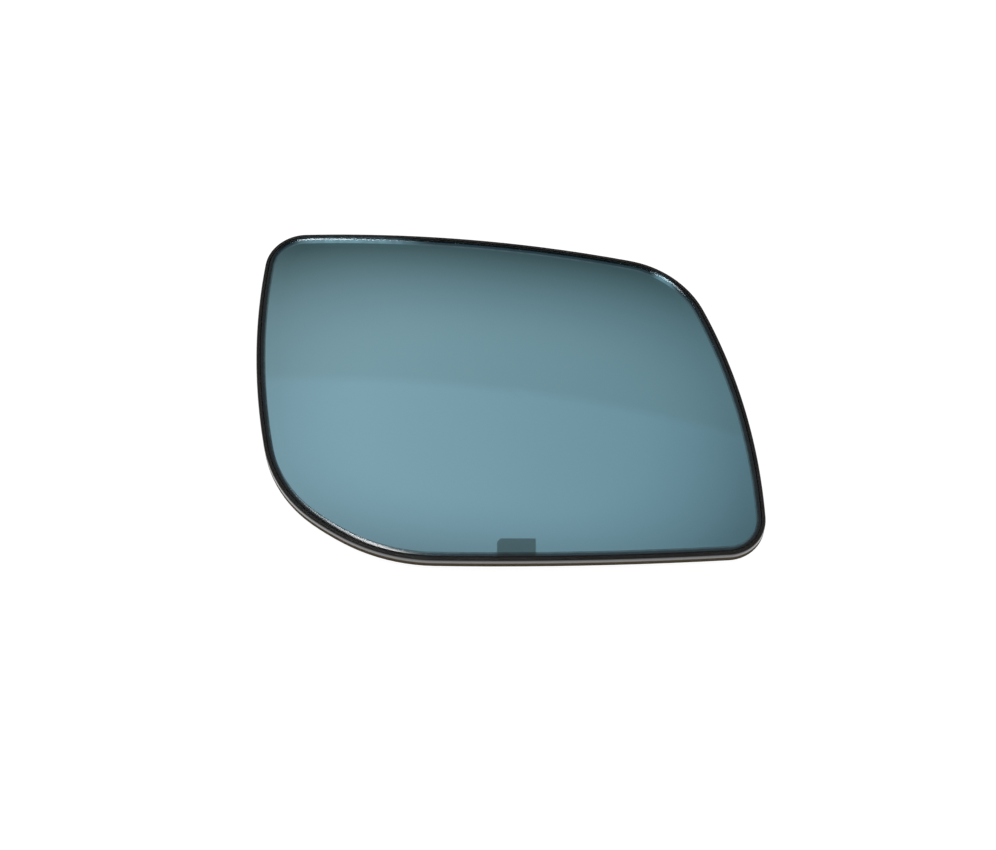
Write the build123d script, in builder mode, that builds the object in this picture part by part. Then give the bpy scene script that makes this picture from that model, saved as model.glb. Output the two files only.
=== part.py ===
from build123d import *
import os

os.makedirs("parts", exist_ok=True)

# Overall size of the rim, and its five corners as shares of it before they are rounded off
WIDTH = 200.0
HEIGHT = 149.0
TOP_LEFT = (-0.481 * WIDTH, 0.500 * HEIGHT)
TOP_RIGHT = (0.354 * WIDTH, 0.376 * HEIGHT)
BOTTOM_RIGHT = (0.501 * WIDTH, -0.466 * HEIGHT)
LOWER_BOTTOM = (-0.204 * WIDTH, -0.496 * HEIGHT)
LOWER_SIDE = (-0.454 * WIDTH, -0.278 * HEIGHT)

# How far each side bows outward from the straight line between its corners
TOP_BOW = 4.7
RIGHT_BOW = 8.5
BOTTOM_BOW = 2.5
LOWER_LEFT_BOW = 4.1
LEFT_BOW = 6.2

# Radius of each corner
TOP_LEFT_R = 16.0
TOP_RIGHT_R = 40.0
BOTTOM_RIGHT_R = 16.0
LOWER_BOTTOM_R = 75.0
LOWER_SIDE_R = 53.0

# Section through the glass, from the front to the back
GLASS_RADIUS = 1260.0
GLASS_THICK = 2.0
EDGE_WIDTH = 1.8
EDGE_DROP = 0.55
PAD_THICK = 0.8
PAD_INSET = 4.0
PLATE_THICK = 2.0

# Rim of the holder
RIM_WIDTH = 1.5
RIM_HEIGHT = 5.7
LIP_DROP = 0.3
GLASS_GAP = 0.15
SHOULDER_R = 1.1
SKIRT_BEVEL = 0.5

# Snap ring on the back, which the mirror's actuator clips into
HOOK_RADIUS = 28.0
HOOK_REACH = 1.5
RING_WALL = 2.2
RING_DEPTH = 9.5
RING_EDGE = 0.6
LEAD_IN = 1.0
HOOK_LAND = 1.5
FINGERS = 8
SLOT_WIDTH = 3.0
COLLAR_HEIGHT = 3.0
KEY_WIDTH = 8.0
KEY_ANGLE = 90.0

# Ribs on the back of the plate, a step lower than the ring's unslotted collar
RIB_WIDTH = 1.6
RIB_STEP = 0.5
RIB_BITE = 0.8
BORDER_INSET = 8.0

# Levels: the ring's free end lies on z = 0 and every curved face shares one centre
SEAT_RADIUS = GLASS_RADIUS - GLASS_THICK - PAD_THICK
REAR_RADIUS = SEAT_RADIUS - PLATE_THICK
LIP_RADIUS = GLASS_RADIUS - LIP_DROP
CURVE_CENTRE = RING_DEPTH - REAR_RADIUS
BLANK_HEIGHT = RING_DEPTH + PLATE_THICK + PAD_THICK + 2 * GLASS_THICK
RING_BORE = HOOK_RADIUS + HOOK_REACH
RING_OUTER = RING_BORE + RING_WALL
RING_TOP = RING_DEPTH + PLATE_THICK / 2
SLOT_DEPTH = RING_DEPTH - COLLAR_HEIGHT
SLOT_REACH = 2 * (RING_WALL + HOOK_REACH)
RIB_HEIGHT = COLLAR_HEIGHT - RIB_STEP
POLE_TURN = (90, 0, 0)  # keeps the balls' poles and seams away from the glass

with BuildSketch() as rim_outline:
    with BuildLine():
        SagittaArc(TOP_LEFT, TOP_RIGHT, TOP_BOW)
        SagittaArc(TOP_RIGHT, BOTTOM_RIGHT, RIGHT_BOW)
        SagittaArc(BOTTOM_RIGHT, LOWER_BOTTOM, BOTTOM_BOW)
        SagittaArc(LOWER_BOTTOM, LOWER_SIDE, LOWER_LEFT_BOW)
        SagittaArc(LOWER_SIDE, TOP_LEFT, LEFT_BOW)
    make_face()
    fillet(rim_outline.vertices().sort_by_distance(TOP_LEFT)[0], radius=TOP_LEFT_R)
    fillet(rim_outline.vertices().sort_by_distance(TOP_RIGHT)[0], radius=TOP_RIGHT_R)
    fillet(rim_outline.vertices().sort_by_distance(BOTTOM_RIGHT)[0], radius=BOTTOM_RIGHT_R)
    fillet(rim_outline.vertices().sort_by_distance(LOWER_BOTTOM)[0], radius=LOWER_BOTTOM_R)
    fillet(rim_outline.vertices().sort_by_distance(LOWER_SIDE)[0], radius=LOWER_SIDE_R)


def inset_outline(distance):
    """Rim outline moved inward, with every arc kept concentric."""
    with BuildSketch() as inset:
        with BuildLine():
            for edge in rim_outline.sketch.edges():
                centre = edge.arc_center
                share = 1 - distance / edge.radius
                ThreePointArc([centre + (edge @ step - centre) * share for step in (0, 0.5, 1)])
        make_face()
    return inset.sketch


pocket_outline = inset_outline(RIM_WIDTH)
glass_outline = inset_outline(RIM_WIDTH + GLASS_GAP)
pad_outline = inset_outline(RIM_WIDTH + GLASS_GAP + PAD_INSET)
border_outer = inset_outline(BORDER_INSET)
border_inner = inset_outline(BORDER_INSET + RIB_WIDTH)

# Mirror glass: one bent sheet with its front edge ground to a bevel
with BuildPart() as mirror_glass:
    add(glass_outline)
    extrude(amount=BLANK_HEIGHT)
    with Locations((0, 0, CURVE_CENTRE)):
        Sphere(GLASS_RADIUS, rotation=POLE_TURN, mode=Mode.INTERSECT)
        Sphere(GLASS_RADIUS - GLASS_THICK, rotation=POLE_TURN, mode=Mode.SUBTRACT)
    curved = mirror_glass.faces().filter_by(GeomType.SPHERE).sort_by(Axis.Z)
    chamfer(curved[-1].edges(), length=EDGE_WIDTH, length2=EDGE_DROP, reference=curved[-1])
mirror_glass.part.label = "mirror_glass"

# Adhesive pad between the glass and the plate
with BuildPart() as adhesive_pad:
    add(pad_outline)
    extrude(amount=BLANK_HEIGHT)
    with Locations((0, 0, CURVE_CENTRE)):
        Sphere(GLASS_RADIUS - GLASS_THICK, rotation=POLE_TURN, mode=Mode.INTERSECT)
        Sphere(SEAT_RADIUS, rotation=POLE_TURN, mode=Mode.SUBTRACT)
adhesive_pad.part.label = "adhesive_pad"

# Space in front of the seat, which the pad and the glass fill
with BuildPart() as pocket:
    add(pocket_outline)
    extrude(amount=BLANK_HEIGHT)
    with Locations((0, 0, CURVE_CENTRE)):
        Sphere(SEAT_RADIUS, rotation=POLE_TURN, mode=Mode.SUBTRACT)

# Space behind the plate, inside the skirt of the rim
with BuildPart() as rear_hollow:
    add(pocket_outline)
    extrude(amount=BLANK_HEIGHT)
    with Locations((0, 0, CURVE_CENTRE)):
        Sphere(REAR_RADIUS, rotation=POLE_TURN, mode=Mode.INTERSECT)

# Rear ribs: spokes from the ring out to a border rib that follows the outline
with BuildPart() as ribs:
    with BuildSketch():
        with PolarLocations(0, FINGERS, start_angle=180 / FINGERS):
            Rectangle(WIDTH, RIB_WIDTH, align=(Align.MIN, Align.CENTER))
        add(border_inner, mode=Mode.INTERSECT)
        Circle(RING_BORE + RING_WALL / 2, mode=Mode.SUBTRACT)
    extrude(amount=BLANK_HEIGHT)
    with BuildSketch():
        add(border_outer)
        add(border_inner, mode=Mode.SUBTRACT)
    extrude(amount=BLANK_HEIGHT)
    with Locations((0, 0, CURVE_CENTRE)):
        Sphere(REAR_RADIUS + RIB_BITE, rotation=POLE_TURN, mode=Mode.INTERSECT)
        Sphere(REAR_RADIUS - RIB_HEIGHT, rotation=POLE_TURN, mode=Mode.SUBTRACT)

# Holder: plate, rim, ribs and snap ring in one moulding
with BuildPart() as holder:
    add(rim_outline.sketch)
    extrude(amount=BLANK_HEIGHT)
    with Locations((0, 0, CURVE_CENTRE)):
        Sphere(LIP_RADIUS, rotation=POLE_TURN, mode=Mode.INTERSECT)
        Sphere(LIP_RADIUS - RIM_HEIGHT, rotation=POLE_TURN, mode=Mode.SUBTRACT)
    curved = holder.faces().filter_by(GeomType.SPHERE).sort_by(Axis.Z)
    fillet(curved[-1].edges(), radius=SHOULDER_R)
    curved = holder.faces().filter_by(GeomType.SPHERE).sort_by(Axis.Z)
    chamfer(curved[0].edges(), length=SKIRT_BEVEL)
    add(pocket.part, mode=Mode.SUBTRACT)
    add(rear_hollow.part, mode=Mode.SUBTRACT)
    add(ribs.part)
    with BuildSketch(Plane.XZ):
        with BuildLine():
            Polyline(
                (RING_BORE, RING_TOP),
                (RING_OUTER, RING_TOP),
                (RING_OUTER, RING_EDGE),
                (RING_OUTER - RING_EDGE, 0),
                (HOOK_RADIUS + LEAD_IN, 0),
                (HOOK_RADIUS, LEAD_IN),
                (HOOK_RADIUS, LEAD_IN + HOOK_LAND),
                (RING_BORE, LEAD_IN + HOOK_LAND + HOOK_REACH),
                close=True,
            )
        make_face()
    revolve(axis=Axis.Z)
    with BuildSketch():
        with PolarLocations(RING_BORE, FINGERS, start_angle=KEY_ANGLE):
            Rectangle(SLOT_REACH, SLOT_WIDTH)
        with PolarLocations(RING_BORE, 1, start_angle=KEY_ANGLE):
            Rectangle(SLOT_REACH, KEY_WIDTH)
    extrude(amount=SLOT_DEPTH, mode=Mode.SUBTRACT)
holder.part.label = "holder"

export_step(mirror_glass.part, "parts/mirror_glass.step")
export_step(adhesive_pad.part, "parts/adhesive_pad.step")
export_step(holder.part, "parts/holder.step")
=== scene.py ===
import cmath
import math

import bpy
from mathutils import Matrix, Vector


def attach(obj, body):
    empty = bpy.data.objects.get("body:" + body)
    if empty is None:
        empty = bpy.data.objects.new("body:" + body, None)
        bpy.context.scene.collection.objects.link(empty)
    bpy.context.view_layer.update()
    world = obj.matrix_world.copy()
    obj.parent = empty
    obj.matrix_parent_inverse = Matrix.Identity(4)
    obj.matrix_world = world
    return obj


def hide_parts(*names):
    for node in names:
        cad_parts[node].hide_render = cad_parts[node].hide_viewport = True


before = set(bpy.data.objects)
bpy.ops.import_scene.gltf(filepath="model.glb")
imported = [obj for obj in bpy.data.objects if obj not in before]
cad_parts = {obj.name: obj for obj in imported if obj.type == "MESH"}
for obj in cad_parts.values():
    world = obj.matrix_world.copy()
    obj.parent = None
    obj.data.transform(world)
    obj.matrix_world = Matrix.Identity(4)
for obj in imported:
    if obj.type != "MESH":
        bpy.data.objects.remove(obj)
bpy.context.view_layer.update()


# Holder: one injection moulding in black plastic, with a backing plate, a round-shouldered rim, rear ribs and
# a ring of snap fingers. The tool was polished on the outer wall of the rim and left satin everywhere else.
# Below the parting line near the foot of the rim the plastic is duller, and there its colour is a brown
# painted shade.
CURVE_CENTRE = -1.2457
LIP_RADIUS = 1.2597
POLISH_START = 0.0003
POLISH_FULL = 0.0006
FOOT_SHADE_START = 0.0023
FOOT_SHADE_FULL = 0.0029
PATCH_SPAN = (0.35, 0.65)
DEEP_BLACK = (0.0145, 0.0136, 0.0132, 1)
PALE_BLACK = (0.0205, 0.0193, 0.0188, 1)
# brown painted shade laid along the foot of the rim, below the parting line
FOOT_SHADE_BROWN = (0.075, 0.055, 0.031, 1)
DUST_GREY = (0.05, 0.048, 0.044, 1)
SATIN_SPAN = (0.3, 0.7)
SATIN_ROUGHNESS = (0.42, 0.56)
FOOT_DULLNESS = 0.25


def put(tree, kind, sockets=None, **settings):
    """Adds a node: a socket given another node's output is linked, and any other value is set."""
    node = tree.nodes.new(kind)
    for name, value in settings.items():
        setattr(node, name, value)
    for name, value in (sockets or {}).items():
        if isinstance(value, bpy.types.NodeSocket):
            tree.links.new(value, node.inputs[name])
        else:
            node.inputs[name].default_value = value
    return node


def maths(tree, operation, *values):
    """Result of one step of arithmetic on numbers or node outputs."""
    return put(tree, "ShaderNodeMath", dict(enumerate(values)), operation=operation).outputs[0]


def mix_colour(tree, share, first, second):
    """Colour that goes from first to second as share goes from 0 to 1."""
    return put(tree, "ShaderNodeMix", {0: share, 6: first, 7: second}, data_type="RGBA").outputs[2]


def ease(tree, value, low, high, start=0.0, end=1.0):
    """Number that eases from start to end as value goes from low to high."""
    sockets = {"Value": value, "From Min": low, "From Max": high, "To Min": start, "To Max": end}
    return put(tree, "ShaderNodeMapRange", sockets, interpolation_type="SMOOTHSTEP").outputs["Result"]


def new_group(name, inputs, outputs):
    """Shader node group whose first input is a place and whose other inputs and outputs are numbers."""
    tree = bpy.data.node_groups.new(name, "ShaderNodeTree")
    tree.interface.new_socket("Place", in_out="INPUT", socket_type="NodeSocketVector")
    for label, value in inputs.items():
        socket = tree.interface.new_socket(label, in_out="INPUT", socket_type="NodeSocketFloat")
        socket.default_value = value
    for label in outputs:
        tree.interface.new_socket(label, in_out="OUTPUT", socket_type="NodeSocketFloat")
    return tree, tree.nodes.new("NodeGroupInput").outputs, tree.nodes.new("NodeGroupOutput").inputs


def use_group(tree, group, place, **values):
    """Outputs of a shader group at a place, with underscores in its inputs' names read as spaces."""
    sockets = {"Place": place}
    for name, value in values.items():
        sockets[name.replace("_", " ")] = value
    return put(tree, "ShaderNodeGroup", sockets, node_tree=group).outputs


def new_material(name):
    """Material with its Principled shader, ready for wiring, and its Object coordinates."""
    material = bpy.data.materials.new(name)
    material.use_nodes = True
    tree = material.node_tree
    place = tree.nodes.new("ShaderNodeTexCoord").outputs["Object"]
    return material, tree, tree.nodes["Principled BSDF"], place


def add_bump(tree, shader, height, strength, distance):
    """Fine relief on a material."""
    bump = put(tree, "ShaderNodeBump", {"Height": height, "Strength": strength, "Distance": distance})
    tree.links.new(bump.outputs["Normal"], shader.inputs["Normal"])


def finish_node(name, material):
    """Gives a carried-over node its finish."""
    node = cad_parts[name]
    node.data.materials.clear()
    node.data.materials.append(material)


surface_grain, given, result = new_group(
    "surface_grain", {"Grain Scale": 1200.0, "Patch Scale": 60.0}, ("Height", "Patches")
)
fine = {"Vector": given["Place"], "Scale": given["Grain Scale"], "Detail": 4.0}
broad = {"Vector": given["Place"], "Scale": given["Patch Scale"], "Detail": 3.0}
relief = put(surface_grain, "ShaderNodeTexNoise", fine).outputs["Fac"]
cloud = put(surface_grain, "ShaderNodeTexNoise", broad).outputs["Fac"]
surface_grain.links.new(relief, result["Height"])
surface_grain.links.new(ease(surface_grain, cloud, *PATCH_SPAN), result["Patches"])

settled_dust, given, result = new_group(
    "settled_dust", {"Cells": 260.0, "Share": 0.03, "Size": 0.12}, ("Specks",)
)
cells = put(settled_dust, "ShaderNodeTexVoronoi", {"Vector": given["Place"], "Scale": given["Cells"]})
lot = put(settled_dust, "ShaderNodeSeparateColor", {"Color": cells.outputs["Color"]}).outputs[0]
chosen = maths(settled_dust, "LESS_THAN", lot, given["Share"])
near = maths(settled_dust, "LESS_THAN", cells.outputs["Distance"], given["Size"])
settled_dust.links.new(maths(settled_dust, "MULTIPLY", chosen, near), result["Specks"])

depth_below, given, result = new_group("depth_below_curve", {"Curve Radius": LIP_RADIUS}, ("Depth",))
centre = {0: given["Place"], 1: (0, 0, CURVE_CENTRE)}
from_centre = put(depth_below, "ShaderNodeVectorMath", centre, operation="DISTANCE").outputs["Value"]
depth = maths(depth_below, "SUBTRACT", given["Curve Radius"], from_centre)
depth_below.links.new(depth, result["Depth"])

black_plastic, tree, shader, place = new_material("holder_black_plastic")
depth = use_group(tree, depth_below, place)["Depth"]
# the foot of the rim: duller plastic, and a brown painted shade
shaded_dull_foot = ease(tree, depth, FOOT_SHADE_START, FOOT_SHADE_FULL)
above_shaded_foot = maths(tree, "SUBTRACT", 1.0, shaded_dull_foot)
polished = maths(tree, "MULTIPLY", ease(tree, depth, POLISH_START, POLISH_FULL), above_shaded_foot)
grain = use_group(tree, surface_grain, place)
specks = use_group(tree, settled_dust, place, Cells=420.0, Share=0.02)["Specks"]
black = mix_colour(tree, grain["Patches"], DEEP_BLACK, PALE_BLACK)
# brown painted shade along the foot of the rim
painted_foot_shade = mix_colour(tree, shaded_dull_foot, black, FOOT_SHADE_BROWN)
tree.links.new(mix_colour(tree, specks, painted_foot_shade, DUST_GREY), shader.inputs["Base Color"])
satin = ease(tree, grain["Height"], *SATIN_SPAN, *SATIN_ROUGHNESS)
tree.links.new(maths(tree, "MULTIPLY_ADD", shaded_dull_foot, FOOT_DULLNESS, satin), shader.inputs["Roughness"])
tree.links.new(polished, shader.inputs["Coat Weight"])
shader.inputs["Specular IOR Level"].default_value = 0.13
shader.inputs["Coat Roughness"].default_value = 0.16
shader.inputs["Coat IOR"].default_value = 1.8
add_bump(tree, shader, grain["Height"], strength=0.10, distance=0.0002)
finish_node("holder", black_plastic)


# Adhesive pad: a die-cut sheet of grey foam with adhesive on both faces, rolled on to the plate before the
# glass is pressed down on it. Only its cut edge can be seen, deep in the gap round the glass.
# the foam is darker where its relief is low: painted shade in its pores
FOAM_HOLLOW_SHADE = (0.03, 0.03, 0.03, 1)
FOAM_SKIN = (0.09, 0.09, 0.088, 1)
FOAM_ROUGHNESS = (0.84, 0.94)
grey_foam, tree, shader, place = new_material("pad_grey_foam")
bubbles = use_group(tree, surface_grain, place, Grain_Scale=2600.0, Patch_Scale=90.0)
# painted shade in the foam's hollows, following the same relief as the bump
tree.links.new(mix_colour(tree, bubbles["Height"], FOAM_HOLLOW_SHADE, FOAM_SKIN), shader.inputs["Base Color"])
tree.links.new(ease(tree, bubbles["Patches"], 0.0, 1.0, *FOAM_ROUGHNESS), shader.inputs["Roughness"])
add_bump(tree, shader, bubbles["Height"], strength=0.5, distance=0.0003)
finish_node("adhesive_pad", grey_foam)


# Mirror glass: one sheet of 2 mm float glass bent to a ball's curve, silvered blue on its back, cut to the
# outline and ground to a slightly rounded bevel along its front edge. The pad alone holds it, so its face
# stands a little proud of the rim's lip and its bevel runs down past the lip.
GLASS_RADIUS = 1.260
GLASS_THICK = 0.002
PAD_CLEARANCE = 0.00002
EDGE_WIDTH = 0.0018
EDGE_DROP = 0.00055
EDGE_ROUNDNESS = 0.5
GLASS_INSET = 0.00165
OUTLINE_STEP = 0.0008
WELD_DISTANCE = 0.000002
ARRIS_ANGLE = math.radians(5)
CORNERS = (
    (-0.0962, 0.0745), (0.0708, 0.056024), (0.1002, -0.069434), (-0.0408, -0.073904), (-0.0908, -0.041422),
)
SIDE_BOWS = (0.0047, 0.0085, 0.0025, 0.0041, 0.0062)
CORNER_RADII = (0.016, 0.040, 0.016, 0.075, 0.053)
GLASS_IOR = 1.52


def meeting_point(first, first_radius, second, second_radius, near):
    """Where two circles cross, on the side that is nearer to a given point."""
    apart = abs(second - first)
    along = (first_radius ** 2 - second_radius ** 2 + apart ** 2) / (2 * apart)
    off = math.sqrt(first_radius ** 2 - along ** 2)
    ways = [first + (second - first) / apart * complex(along, side) for side in (off, -off)]
    return min(ways, key=lambda point: abs(point - near))


def rounded_outline(inset):
    """Points clockwise along the bowed sides and round corners, moved inward by inset."""
    corners = [complex(*corner) for corner in CORNERS]
    count = len(corners)
    sides = []
    for index, bow in enumerate(SIDE_BOWS):
        start, end = corners[index], corners[(index + 1) % count]
        half = abs(end - start) / 2
        radius = (half ** 2 + bow ** 2) / (2 * bow)
        outward = (end - start) / (2 * half) * 1j
        sides.append(((start + end) / 2 + outward * (bow - radius), radius))
    hubs = []
    for index, radius in enumerate(CORNER_RADII):
        (before, wide), (after, wider) = sides[index - 1], sides[index]
        hubs.append(meeting_point(before, wide - radius, after, wider - radius, corners[index]))
    arcs = []
    for index, (middle, radius) in enumerate(sides):
        hub, next_hub = hubs[index], hubs[(index + 1) % count]
        arcs.append((hub, CORNER_RADII[index], hub - sides[index - 1][0], hub - middle))
        arcs.append((middle, radius, hub - middle, next_hub - middle))
    points = []
    for centre, radius, first, last in arcs:
        sweep = cmath.phase(last / first)
        steps = max(2, round(abs(sweep) * radius / OUTLINE_STEP))
        for step in range(steps):
            turn = cmath.rect(1, cmath.phase(first) + sweep * step / steps)
            points.append(centre + (radius - inset) * turn)
    return points


def vector_maths(tree, operation, *values):
    """Vector from one step of arithmetic on vectors or node outputs."""
    return put(tree, "ShaderNodeVectorMath", dict(enumerate(values)), operation=operation).outputs[0]


def scaled(tree, vector, factor):
    """Vector made longer or shorter by a factor."""
    sockets = {"Vector": vector, "Scale": factor}
    return put(tree, "ShaderNodeVectorMath", sockets, operation="SCALE").outputs[0]


def axes(tree, vector):
    """X, Y and Z of a vector."""
    return put(tree, "ShaderNodeSeparateXYZ", {"Vector": vector}).outputs


def glass_sheet_tree():
    """Geometry nodes that spread the rows of a grid over the outline: front face, bevel, wall and back."""
    tree = bpy.data.node_groups.new("bent_glass_sheet", "GeometryNodeTree")
    for label, kind in (
        ("Outline", "Geometry"), ("Curve Radius", "Float"), ("Curve Centre", "Float"), ("Thickness", "Float"),
        ("Edge Width", "Float"), ("Edge Drop", "Float"), ("Edge Roundness", "Float"),
        ("Edge Support", "Float"), ("Steps Around", "Int"), ("Front Rows", "Int"), ("Edge Rows", "Int"),
        ("Back Rows", "Int"), ("Face", "Material"), ("Edge", "Material"), ("Back", "Material"),
    ):
        tree.interface.new_socket(label, in_out="INPUT", socket_type="NodeSocket" + kind)
    tree.interface.new_socket("Sheet", in_out="OUTPUT", socket_type="NodeSocketGeometry")
    given = tree.nodes.new("NodeGroupInput").outputs
    result = tree.nodes.new("NodeGroupOutput").inputs

    def share(value, low, high):
        """How far a value has gone from low to high, as 0 to 1."""
        sockets = {"Value": value, "From Min": low, "From Max": high}
        return put(tree, "ShaderNodeMapRange", sockets, clamp=True).outputs["Result"]

    def rounded(straight, bent):
        """Number between its value on a flat bevel and its value on a fully round one."""
        sockets = {0: given["Edge Roundness"], 2: straight, 3: bent}
        return put(tree, "ShaderNodeMix", sockets).outputs[0]

    def at(x, y, z):
        """Vector made of three numbers."""
        return put(tree, "ShaderNodeCombineXYZ", {"X": x, "Y": y, "Z": z}).outputs[0]

    edge_row = maths(tree, "ADD", given["Front Rows"], given["Edge Rows"])
    wall_row = maths(tree, "ADD", edge_row, 1.0)
    last_row = maths(tree, "ADD", wall_row, given["Back Rows"])
    counts = {
        "Size X": 1.0, "Size Y": 1.0,
        "Vertices X": maths(tree, "ADD", given["Steps Around"], 1.0),
        "Vertices Y": maths(tree, "ADD", last_row, 1.0),
    }
    grid = put(tree, "GeometryNodeMeshGrid", counts)
    spot = axes(tree, tree.nodes.new("GeometryNodeInputPosition").outputs[0])
    row = maths(tree, "MULTIPLY", maths(tree, "ADD", spot["Y"], 0.5), last_row)
    kept = tree.nodes.new("GeometryNodeCaptureAttribute")
    kept.capture_items.new("FLOAT", "Row")
    tree.links.new(grid.outputs["Mesh"], kept.inputs["Geometry"])
    tree.links.new(row, kept.inputs["Row"])

    way_round = {"Curves": given["Outline"], "Factor": maths(tree, "ADD", spot["X"], 0.5)}
    rim = put(tree, "GeometryNodeSampleCurve", way_round, mode="FACTOR")
    along = axes(tree, rim.outputs["Tangent"])
    inward = at(along["Y"], maths(tree, "MULTIPLY", along["X"], -1.0), 0.0)
    over_edge = share(row, given["Front Rows"], edge_row)
    roll = maths(tree, "MULTIPLY", over_edge, math.pi / 2)
    out = rounded(over_edge, maths(tree, "SINE", roll))
    down = rounded(over_edge, maths(tree, "SUBTRACT", 1.0, maths(tree, "COSINE", roll)))
    pulled = maths(tree, "MULTIPLY", given["Edge Width"], maths(tree, "SUBTRACT", 1.0, out))
    rolled = maths(tree, "MULTIPLY", given["Edge Drop"], down)
    wall = maths(tree, "SUBTRACT", given["Thickness"], given["Edge Drop"])
    drop = maths(tree, "MULTIPLY_ADD", wall, share(row, edge_row, wall_row), rolled)
    near_row = maths(tree, "SUBTRACT", given["Front Rows"], 1.0)
    within = maths(tree, "SUBTRACT", 1.0, given["Edge Support"])
    most = maths(tree, "MULTIPLY", share(row, 0.0, near_row), within)
    last_step = share(row, near_row, given["Front Rows"])
    spread = maths(tree, "MULTIPLY_ADD", given["Edge Support"], last_step, most)
    closing = maths(tree, "SUBTRACT", 1.0, share(row, wall_row, last_row))
    edge = vector_maths(tree, "ADD", rim.outputs["Position"], scaled(tree, inward, pulled))
    flat = scaled(tree, edge, maths(tree, "MULTIPLY", spread, closing))
    ball = maths(tree, "SUBTRACT", given["Curve Radius"], drop)
    squared = put(tree, "ShaderNodeVectorMath", {0: flat, 1: flat}, operation="DOT_PRODUCT").outputs["Value"]
    rise = maths(tree, "SQRT", maths(tree, "SUBTRACT", maths(tree, "MULTIPLY", ball, ball), squared))
    bent = vector_maths(tree, "ADD", flat, at(0.0, 0.0, maths(tree, "ADD", rise, given["Curve Centre"])))
    placed = put(tree, "GeometryNodeSetPosition", {"Geometry": kept.outputs["Geometry"], "Position": bent})
    seam = {"Geometry": placed.outputs[0], "Distance": WELD_DISTANCE}
    closed = put(tree, "GeometryNodeMergeByDistance", seam)
    sheet = put(tree, "GeometryNodeRealizeInstances", {"Geometry": closed.outputs[0]}).outputs[0]
    for label, first_row in (("Face", -1.0), ("Edge", given["Front Rows"]), ("Back", wall_row)):
        sockets = {0: kept.outputs["Row"], 1: first_row}
        beyond = put(tree, "FunctionNodeCompare", sockets, operation="GREATER_THAN").outputs[0]
        sockets = {"Geometry": sheet, "Selection": beyond, "Material": given[label]}
        sheet = put(tree, "GeometryNodeSetMaterial", sockets).outputs[0]
    tree.links.new(sheet, result["Sheet"])
    return tree


# The clear front face, with a faint unevenness from wiping
WIPED_TINT = (0.95, 0.98, 0.975, 1)
SMEARED_TINT = (0.93, 0.97, 0.965, 1)
SMEAR_ROUGHNESS = 0.006
clear_face, tree, shader, place = new_material("glass_clear_face")
smears = use_group(tree, surface_grain, place, Grain_Scale=300.0, Patch_Scale=28.0)
tree.links.new(mix_colour(tree, smears["Patches"], WIPED_TINT, SMEARED_TINT), shader.inputs["Base Color"])
tree.links.new(ease(tree, smears["Patches"], 0.0, 1.0, 0.0, SMEAR_ROUGHNESS), shader.inputs["Roughness"])
shader.inputs["IOR"].default_value = GLASS_IOR
shader.inputs["Transmission Weight"].default_value = 1.0

# The ground edge, darkened outward as painted shade, with two clear stretches along the top that are painted
# highlights where the glints fall: each fades in between its first two places and out between its last two
SHADE_DEPTHS = (0.04 * EDGE_DROP, 0.28 * EDGE_DROP)
FINE_GROUND = (0.12, 0.115, 0.11, 1)
PALE_GROUND = (0.19, 0.175, 0.165, 1)
# painted shade: the outer part of the bevel is darkened
OUTER_SHADED_GROUND = (0.012, 0.015, 0.018, 1)
# painted highlights: a clear tint at the places of the two glints along the top
GLINT_CLEAR_GROUND = (0.90, 0.95, 0.95, 1)
GLINT_STRETCHES = ((-0.088, -0.078, -0.060, -0.030), (0.0590, 0.0640, 0.0650, 0.0700))
GLINT_ABOVE = 0.040
GLINT_LEAST = 0.65
GROUND_ROUGHNESS = (0.03, 0.14)
ground_edge, tree, shader, place = new_material("glass_ground_edge")
grinding = use_group(tree, surface_grain, place, Grain_Scale=1500.0, Patch_Scale=300.0)
depth = use_group(tree, depth_below, place, Curve_Radius=GLASS_RADIUS)["Depth"]
inner_ground = mix_colour(tree, grinding["Patches"], FINE_GROUND, PALE_GROUND)
# painted shade, darker outward across the bevel
painted_shade_ground = mix_colour(tree, ease(tree, depth, *SHADE_DEPTHS), inner_ground, OUTER_SHADED_GROUND)
spot = axes(tree, place)
# painted highlights: the clear stretches let the glints through along the top
clear = 0.0
for fade_in, glint_from, glint_to, fade_out in GLINT_STRETCHES:
    rising = ease(tree, spot["X"], fade_in, glint_from)
    falling = ease(tree, spot["X"], fade_out, glint_to)
    clear = maths(tree, "MULTIPLY_ADD", rising, falling, clear)
glints_at_top = maths(tree, "MULTIPLY", clear, maths(tree, "GREATER_THAN", spot["Y"], GLINT_ABOVE))
uneven = ease(tree, grinding["Patches"], 0.0, 1.0, GLINT_LEAST, 1.0)
glint_share = maths(tree, "MULTIPLY", glints_at_top, uneven)
tree.links.new(mix_colour(tree, glint_share, painted_shade_ground, GLINT_CLEAR_GROUND), shader.inputs["Base Color"])
tree.links.new(ease(tree, grinding["Patches"], 0.0, 1.0, *GROUND_ROUGHNESS), shader.inputs["Roughness"])
shader.inputs["IOR"].default_value = GLASS_IOR
shader.inputs["Transmission Weight"].default_value = 1.0
add_bump(tree, shader, grinding["Height"], strength=0.12, distance=0.0002)

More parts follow.
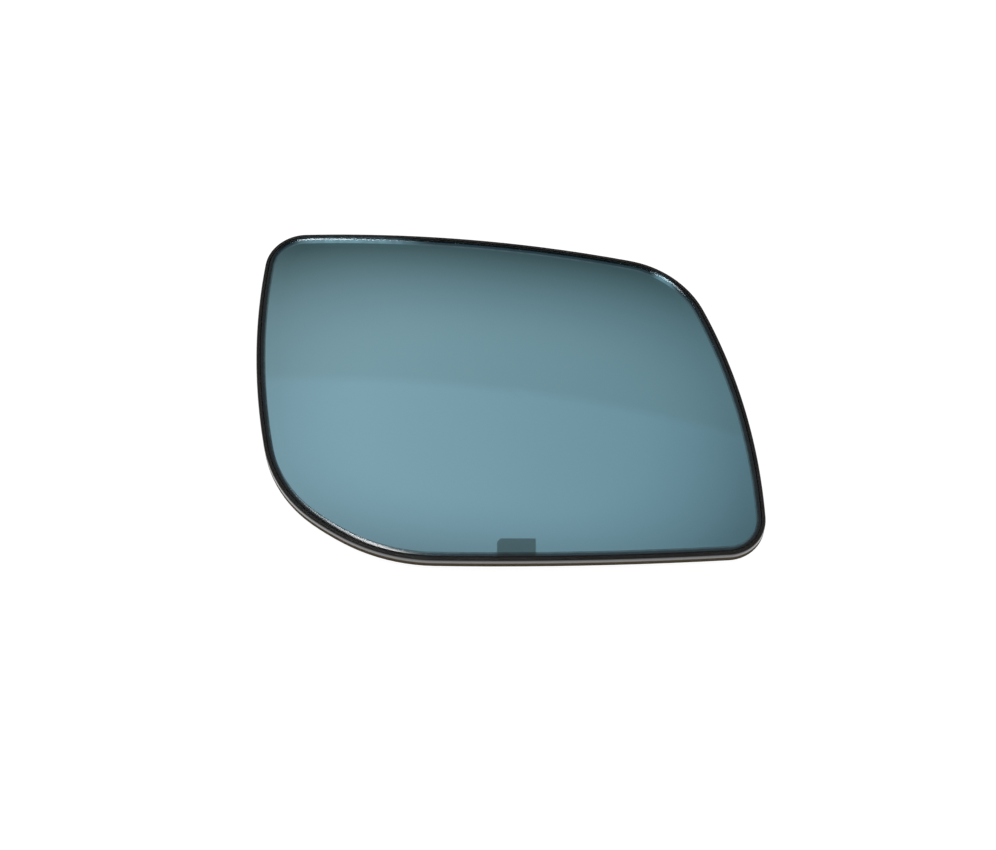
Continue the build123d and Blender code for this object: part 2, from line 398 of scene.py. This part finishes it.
# The silvering, with pinholes and a dull field at the lower edge, one corner of which is cut off
FIELD_LEFT = -0.0034
FIELD_RIGHT = 0.0114
FIELD_TOP = -0.0650
FIELD_SOFT = 0.0003
FIELD_CORNER = 0.0014
DEEP_BLUE = (0.425, 0.765, 0.955, 1)
PALE_BLUE = (0.435, 0.775, 0.965, 1)
PINHOLE_BLUE = (0.70, 0.90, 0.98, 1)
FIELD_BLUE = (0.195, 0.365, 0.435, 1)
SILVER_ROUGHNESS = 0.01
FIELD_ROUGHNESS = 0.14
blue_silvering, tree, shader, place = new_material("glass_blue_silvering")
clouding = use_group(tree, surface_grain, place, Grain_Scale=90.0, Patch_Scale=14.0)
pinholes = use_group(tree, settled_dust, place, Cells=150.0, Share=0.012, Size=0.07)["Specks"]
spot = axes(tree, place)
from_left = ease(tree, spot["X"], FIELD_LEFT - FIELD_SOFT, FIELD_LEFT + FIELD_SOFT)
from_right = ease(tree, spot["X"], FIELD_RIGHT + FIELD_SOFT, FIELD_RIGHT - FIELD_SOFT)
from_top = ease(tree, spot["Y"], FIELD_TOP + FIELD_SOFT, FIELD_TOP - FIELD_SOFT)
cut_at = FIELD_LEFT - FIELD_TOP + FIELD_CORNER
off_corner = maths(tree, "SUBTRACT", spot["X"], spot["Y"])
from_corner = ease(tree, off_corner, cut_at - FIELD_SOFT, cut_at + FIELD_SOFT)
in_width = maths(tree, "MULTIPLY", from_left, from_right)
in_height = maths(tree, "MULTIPLY", from_top, from_corner)
field = maths(tree, "MULTIPLY", in_width, in_height)
blue = mix_colour(tree, clouding["Patches"], DEEP_BLUE, PALE_BLUE)
specked = mix_colour(tree, pinholes, blue, PINHOLE_BLUE)
tree.links.new(mix_colour(tree, field, specked, FIELD_BLUE), shader.inputs["Base Color"])
tree.links.new(ease(tree, field, 0.0, 1.0, SILVER_ROUGHNESS, FIELD_ROUGHNESS), shader.inputs["Roughness"])
shader.inputs["Metallic"].default_value = 1.0

# The sheet itself, bent over its outline
rim_points = rounded_outline(GLASS_INSET)
rim_curve = bpy.data.curves.new("glass_outline", "CURVE")
rim_curve.dimensions = "3D"
rim_line = rim_curve.splines.new("POLY")
rim_line.points.add(len(rim_points) - 1)
for knot, point in zip(rim_line.points, rim_points):
    knot.co = (point.real, point.imag, 0.0, 1.0)
rim_line.use_cyclic_u = True
drawn = bpy.data.objects.new("glass_outline", rim_curve)
bpy.context.scene.collection.objects.link(drawn)
sheet_tree = glass_sheet_tree()
bending = drawn.modifiers.new("bent_glass_sheet", "NODES")
bending.node_group = sheet_tree
sheet_values = {
    "Curve Radius": GLASS_RADIUS,
    "Curve Centre": CURVE_CENTRE,
    "Thickness": GLASS_THICK - PAD_CLEARANCE,
    "Edge Width": EDGE_WIDTH,
    "Edge Drop": EDGE_DROP,
    "Edge Roundness": EDGE_ROUNDNESS,
    "Edge Support": 0.001,
    "Steps Around": 720,
    "Front Rows": 40,
    "Edge Rows": 10,
    "Back Rows": 16,
    "Face": clear_face,
    "Edge": ground_edge,
    "Back": blue_silvering,
}
for item in sheet_tree.interface.items_tree:
    if item.name in sheet_values:
        bending[item.identifier] = sheet_values[item.name]
shown = drawn.evaluated_get(bpy.context.evaluated_depsgraph_get())
glass_mesh = bpy.data.meshes.new_from_object(shown)
glass_mesh.shade_smooth()
glass_mesh.set_sharp_from_angle(angle=ARRIS_ANGLE)
mirror_glass = bpy.data.objects.new("mirror_glass_sheet", glass_mesh)
bpy.context.scene.collection.objects.link(mirror_glass)
bpy.data.objects.remove(drawn)
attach(mirror_glass, "root")
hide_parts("mirror_glass")


# Floor: a sheet of white paper laid flat under the part, level with the free end of the snap ring. It glows
# where the camera or the mirror sees it, so that it stays white there, and it keeps the part's shadow.
FLOOR_HALF = 6.0
PAPER_GREY = (0.30, 0.30, 0.30, 1)
PAPER_GLOW = 0.90


def mirrored_ray(tree, ray):
    """1 for a ray that glass or metal sends on, and 0 for others."""
    return maths(tree, "MAXIMUM", ray["Is Glossy Ray"], ray["Is Transmission Ray"])


floor_mesh = bpy.data.meshes.new("studio_floor")
floor_corners = [(x * FLOOR_HALF, y * FLOOR_HALF, 0.0) for x, y in ((-1, -1), (1, -1), (1, 1), (-1, 1))]
floor_mesh.from_pydata(floor_corners, [], [(0, 1, 2, 3)])
floor = bpy.data.objects.new("studio_floor", floor_mesh)
bpy.context.scene.collection.objects.link(floor)
white_paper = bpy.data.materials.new("studio_white_paper")
white_paper.use_nodes = True
tree = white_paper.node_tree
tree.nodes.clear()
ray = tree.nodes.new("ShaderNodeLightPath").outputs
seen = maths(tree, "MAXIMUM", ray["Is Camera Ray"], mirrored_ray(tree, ray))
paper = put(tree, "ShaderNodeBsdfDiffuse", {"Color": PAPER_GREY})
glow = put(tree, "ShaderNodeEmission", {"Strength": maths(tree, "MULTIPLY", seen, PAPER_GLOW)})
both = put(tree, "ShaderNodeAddShader", {0: paper.outputs[0], 1: glow.outputs[0]})
put(tree, "ShaderNodeOutputMaterial", {"Surface": both.outputs[0]})
floor_mesh.materials.append(white_paper)


# Studio light: a wide soft light overhead that the mirror shows, brighter on its left, with a curved seam
# across it, in a dim room. Three small panels, one low in front and two low at the back, show only as gloss
# on the ground edge of the glass. Places in the room are given by the direction in which they lie.
bpy.context.scene.view_settings.view_transform = "Standard"
WHITE = (1, 1, 1, 1)
SURROUND_GREY = (0.75, 0.75, 0.75, 1)
SOFT_LIGHT_LEVEL = 0.49
SOFT_LIGHT_MIDDLE = (-0.005, 0.446, 0.0)
SOFT_LIGHT_REACH = (0.58, 0.32)
SOFT_LIGHT_TURN = 0.11
SOFT_LIGHT_SQUARENESS = 2.85
SOFT_LIGHT_EVEN = 0.21
SOFT_LIGHT_FALL = 7.3
FALL_ROUNDING = 0.1
DIM_ROOM = (0.045, 0.075, 0.060, 1)
LEFT_END = -0.23
LEFT_TINT = (1.07, 1.04, 1.01, 1)
RIGHT_END = 0.25
RIGHT_TINT = (0.62, 0.685, 0.685, 1)
SEAM_CROWN = -0.192
SEAM_BEND = 0.318
SEAM_SPAN = (0.4865, 0.5005)
ABOVE_SEAM_TINT = (0.922, 0.918, 0.885, 1)
SIDE_WALL_GREY = (0.36, 0.38, 0.38, 1)
SIDE_WALL_SPAN = (0.60, 0.35)
BACK_SPAN = (0.10, 0.30)
LOW_GREY = (0.38, 0.38, 0.38, 1)
LOW_SPAN = (0.35, 0.10)
PANEL_SLANT = 0.9
# A panel is its colour and its edges, each as a reading, where the panel is dark and where it is bright
FRONT_PANEL = (
    (16.0, 16.0, 16.0),
    (("X", -0.51, -0.30), ("X", -0.16, -0.28), ("Y", -0.46, -0.36), ("Slant", -0.21, -0.31)),
)
BACK_LEFT_PANEL = (
    (9.0, 10.2, 10.8),
    (("Turn", -0.28, -0.22), ("Turn", -0.09, -0.16), ("Z", 0.36, 0.42), ("Z", 0.74, 0.66)),
)
BACK_RIGHT_PANEL = (
    (7.0, 8.4, 9.0),
    (("Turn", 0.29, 0.35), ("Turn", 0.47, 0.40), ("Z", 0.34, 0.40), ("Z", 0.65, 0.60)),
)
world = bpy.data.worlds.new("studio_surround")
bpy.context.scene.world = world
world.use_nodes = True
tree = world.node_tree
tree.nodes.clear()
heading = tree.nodes.new("ShaderNodeTexCoord").outputs["Generated"]
facing = axes(tree, heading)
offset = vector_maths(tree, "SUBTRACT", heading, SOFT_LIGHT_MIDDLE)
turning = {"Vector": offset, "Angle": SOFT_LIGHT_TURN}
across = axes(tree, put(tree, "ShaderNodeVectorRotate", turning, rotation_type="Z_AXIS").outputs[0])
shares = []
for axis, half in zip("XY", SOFT_LIGHT_REACH):
    share = maths(tree, "ABSOLUTE", maths(tree, "DIVIDE", across[axis], half))
    shares.append(maths(tree, "POWER", share, SOFT_LIGHT_SQUARENESS))
away = maths(tree, "POWER", maths(tree, "ADD", *shares), 1.0 / SOFT_LIGHT_SQUARENESS)
past_even = maths(tree, "MAXIMUM", maths(tree, "SUBTRACT", away, SOFT_LIGHT_EVEN), 0.0)
lost = maths(tree, "MULTIPLY", maths(tree, "POWER", past_even, 2.0), SOFT_LIGHT_FALL)
lit = maths(tree, "SMOOTH_MAX", maths(tree, "SUBTRACT", 1.0, lost), 0.0, FALL_ROUNDING)
fall = mix_colour(tree, lit, DIM_ROOM, WHITE)
ends = {"Value": facing["X"], "From Min": LEFT_END, "From Max": RIGHT_END}
sideways = put(tree, "ShaderNodeMapRange", ends).outputs[0]
slope = mix_colour(tree, sideways, LEFT_TINT, RIGHT_TINT)
off_crown = maths(tree, "POWER", maths(tree, "SUBTRACT", facing["X"], SEAM_CROWN), 2.0)
along_seam = maths(tree, "MULTIPLY_ADD", off_crown, SEAM_BEND, facing["Y"])
upper = mix_colour(tree, ease(tree, along_seam, *SEAM_SPAN), WHITE, ABOVE_SEAM_TINT)
tinted = vector_maths(tree, "MULTIPLY", vector_maths(tree, "MULTIPLY", fall, slope), upper)
soft_light = scaled(tree, tinted, SOFT_LIGHT_LEVEL)
between_sides = ease(tree, maths(tree, "ABSOLUTE", facing["X"]), *SIDE_WALL_SPAN)
behind = maths(tree, "MULTIPLY", between_sides, ease(tree, facing["Y"], *BACK_SPAN))
walls = mix_colour(tree, behind, SIDE_WALL_GREY, soft_light)
surround = mix_colour(tree, ease(tree, facing["Z"], *LOW_SPAN), walls, LOW_GREY)
ray = tree.nodes.new("ShaderNodeLightPath").outputs
readings = {
    "X": facing["X"],
    "Y": facing["Y"],
    "Z": facing["Z"],
    "Slant": maths(tree, "MULTIPLY_ADD", facing["X"], PANEL_SLANT, facing["Y"]),
    "Turn": maths(tree, "ARCTAN2", facing["X"], facing["Y"]),
}
overhead = maths(tree, "GREATER_THAN", facing["Z"], 0.0)
for colour, edges in (FRONT_PANEL, BACK_LEFT_PANEL, BACK_RIGHT_PANEL):
    shine = maths(tree, "MULTIPLY", overhead, ray["Is Reflection Ray"])
    for reading, dark_at, bright_at in edges:
        shine = maths(tree, "MULTIPLY", shine, ease(tree, readings[reading], dark_at, bright_at))
    surround = vector_maths(tree, "ADD", surround, scaled(tree, colour, shine))
plain = mix_colour(tree, ray["Is Camera Ray"], SURROUND_GREY, WHITE)
shown_sky = mix_colour(tree, mirrored_ray(tree, ray), plain, surround)
sky = put(tree, "ShaderNodeBackground", {"Color": shown_sky, "Strength": 1.0})
put(tree, "ShaderNodeOutputWorld", {"Surface": sky.outputs[0]})


# Camera: a short telephoto lens held above and in front of the glass, looking down on it, so that the whole
# rim is in view and the mirror shows the soft light behind the part.
VIEW_ELEVATION = math.radians(62.0)
VIEW_DISTANCE = 0.89935
VIEW_AIM = Vector((-0.00303, -0.01417, 0.008))
SENSOR_WIDTH = 36.0
FOCAL_LENGTH = 82.5
lens = bpy.data.cameras.new("camera")
lens.sensor_fit = "HORIZONTAL"
lens.sensor_width = SENSOR_WIDTH
lens.lens = FOCAL_LENGTH
camera = bpy.data.objects.new("camera", lens)
backward = Vector((0.0, -math.cos(VIEW_ELEVATION), math.sin(VIEW_ELEVATION)))
camera.location = VIEW_AIM + backward * VIEW_DISTANCE
camera.rotation_euler = (-backward).to_track_quat("-Z", "Y").to_euler()
bpy.context.scene.collection.objects.link(camera)
bpy.context.scene.camera = camera
